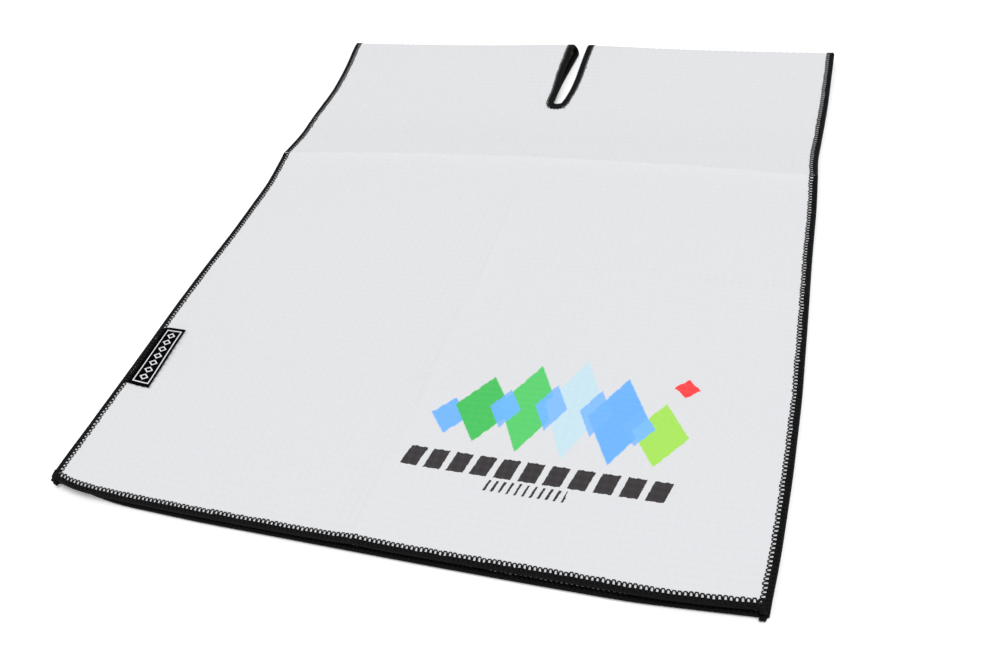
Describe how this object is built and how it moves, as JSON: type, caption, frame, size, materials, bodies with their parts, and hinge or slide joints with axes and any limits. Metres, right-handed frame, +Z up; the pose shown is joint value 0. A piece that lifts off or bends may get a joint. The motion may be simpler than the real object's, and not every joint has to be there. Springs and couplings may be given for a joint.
{
  "type": "golf towel",
  "caption": "Waffle-weave microfibre golf towel folded in half, with black overlocked edges, a hanging slit across the fold and a sewn-in woven label.",
  "frame": {"origin": "centre of the bounding box, on the surface the folded towel lies on", "axes": "+X across the towel to its right, +Y from the free edges to the fold, +Z up"},
  "size_m": [0.4084, 0.5052, 0.0088],
  "materials": {
    "waffle_cloth": "white waffle-weave microfibre, matte, with a dye print in green, lime, blue, pale blue, red and dark grey",
    "overlock_thread": "black polyester overlock thread, soft sheen",
    "label_ribbon": "black satin-woven label ribbon with fine white woven lines"
  },
  "bodies": {
    "lower_leaf": {"lower_cloth": "waffle_cloth", "lower_front_overlock": "overlock_thread", "lower_slit_overlock": "overlock_thread", "lower_left_overlock": "overlock_thread", "lower_right_overlock": "overlock_thread", "lower_left_tail": "overlock_thread", "lower_right_tail": "overlock_thread", "fold_left_cloth": "waffle_cloth", "fold_right_cloth": "waffle_cloth", "fold_left_overlock": "overlock_thread", "fold_right_overlock": "overlock_thread", "fold_left_slit_overlock": "overlock_thread", "fold_right_slit_overlock": "overlock_thread"},
    "upper_back": {"upper_back_cloth": "waffle_cloth", "upper_slit_overlock": "overlock_thread", "upper_back_left_overlock": "overlock_thread", "upper_back_right_overlock": "overlock_thread"},
    "upper_front": {"upper_front_cloth": "waffle_cloth", "upper_front_overlock": "overlock_thread", "upper_front_left_overlock": "overlock_thread", "upper_front_right_overlock": "overlock_thread", "upper_left_tail": "overlock_thread", "upper_right_tail": "overlock_thread", "label_seam_end": "label_ribbon"},
    "label": {"woven_label": "label_ribbon"}
  },
  "joints": [
    {"name": "main_fold", "type": "hinge", "parent": "lower_leaf", "child": "upper_back", "pos_m": [0, 0.25289, 0.0044], "axis": [-1, 0, 0], "range_deg": [0, 180], "deforming": ["fold_left_cloth", "fold_right_cloth", "fold_left_overlock", "fold_right_overlock", "fold_left_slit_overlock", "fold_right_slit_overlock"]},
    {"name": "crease_fold", "type": "hinge", "parent": "upper_back", "child": "upper_front", "pos_m": [0, 0.09257, 0.0105], "axis": [-1, 0, 0], "range_deg": [0, 180]},
    {"name": "label_flap", "type": "hinge", "parent": "upper_front", "child": "label", "pos_m": [-0.1935, -0.14186, 0.00695], "axis": [0, -1, 0], "range_deg": [0, 160]}
  ]
}
